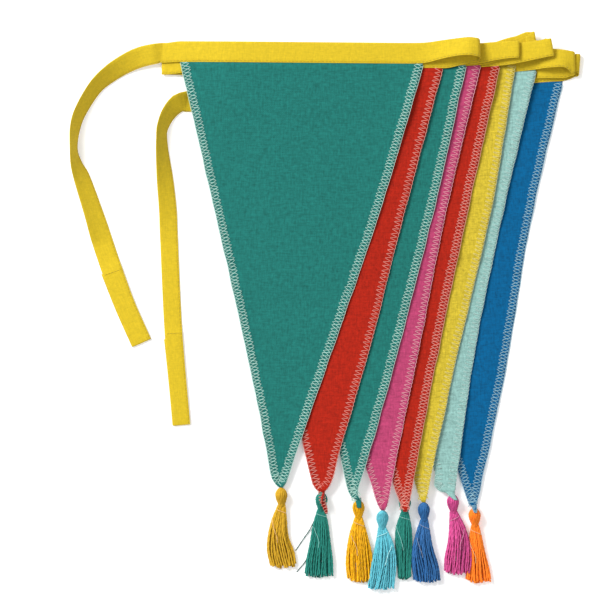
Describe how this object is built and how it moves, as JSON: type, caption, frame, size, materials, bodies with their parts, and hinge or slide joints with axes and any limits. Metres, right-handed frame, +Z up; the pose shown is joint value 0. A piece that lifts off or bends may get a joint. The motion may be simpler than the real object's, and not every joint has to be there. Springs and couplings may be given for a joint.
{
  "type": "fabric bunting",
  "caption": "Folded string of triangular cotton pennants on a binding tape with tie ends, each pennant with a yarn tassel at its tip, lying flat.",
  "frame": {"origin": "the middle of the bunting's outline as it lies, at the surface that it lies on", "axes": "+X to the right along the tape, +Y from the tassels to the tape, +Z up off the surface"},
  "size_m": [0.3572, 0.3918, 0.0162],
  "materials": {
    "tape_cotton": "matt woven cotton",
    "teal_cotton": "matt woven cotton",
    "red_cotton": "matt woven cotton",
    "pink_cotton": "matt woven cotton",
    "yellow_cotton": "matt woven cotton",
    "mint_cotton": "matt woven cotton",
    "blue_cotton": "matt woven cotton",
    "mustard_yarn": "soft sheen of spun yarn",
    "green_yarn": "soft sheen of spun yarn",
    "yellow_yarn": "soft sheen of spun yarn",
    "turquoise_yarn": "soft sheen of spun yarn",
    "royal_blue_yarn": "soft sheen of spun yarn",
    "pink_yarn": "soft sheen of spun yarn",
    "orange_yarn": "soft sheen of spun yarn"
  },
  "bodies": {
    "root": {"tape_with_ties": "tape_cotton", "pennant_1_teal": "teal_cotton", "pennant_2_red": "red_cotton", "pennant_3_teal": "teal_cotton", "pennant_4_pink": "pink_cotton", "pennant_5_red": "red_cotton", "pennant_6_yellow": "yellow_cotton", "pennant_7_mint": "mint_cotton", "pennant_8_blue": "blue_cotton", "tassel_1": "mustard_yarn", "tassel_2": "green_yarn", "tassel_3": "yellow_yarn", "tassel_4": "turquoise_yarn", "tassel_5": "green_yarn", "tassel_6": "royal_blue_yarn", "tassel_7": "pink_yarn", "tassel_8": "orange_yarn"}
  },
  "joints": []
}
